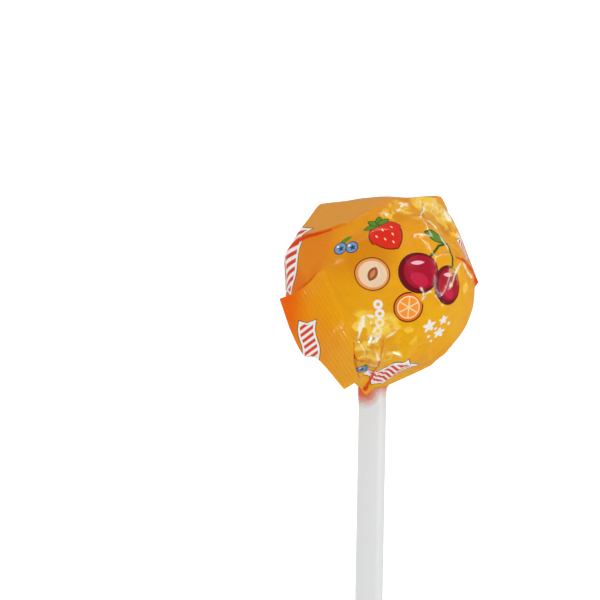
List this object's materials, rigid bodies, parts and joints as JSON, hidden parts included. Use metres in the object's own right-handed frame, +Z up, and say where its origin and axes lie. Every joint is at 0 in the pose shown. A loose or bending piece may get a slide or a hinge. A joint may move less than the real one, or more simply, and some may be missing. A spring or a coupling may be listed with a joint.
{
  "type": "wrapped ball lollipop",
  "caption": "Ball lollipop in a twisted, printed film wrapper with a loose flap, on a straight round stick, lying on its side.",
  "frame": {"origin": "on the floor, under the middle of the whole lollipop's bounding box", "axes": "+Z up from the floor it lies on, +Y along the lollipop from the stick's far end towards the ball, +X to the right when seen from above with the ball at the top"},
  "size_m": [0.0286, 0.099, 0.0267],
  "materials": {
    "film": "printed yellow-orange film, crumpled, semi-gloss",
    "stick": "white plastic, smooth and matte"
  },
  "bodies": {
    "root": {"wrapper": "film", "stick": "stick"}
  },
  "joints": []
}
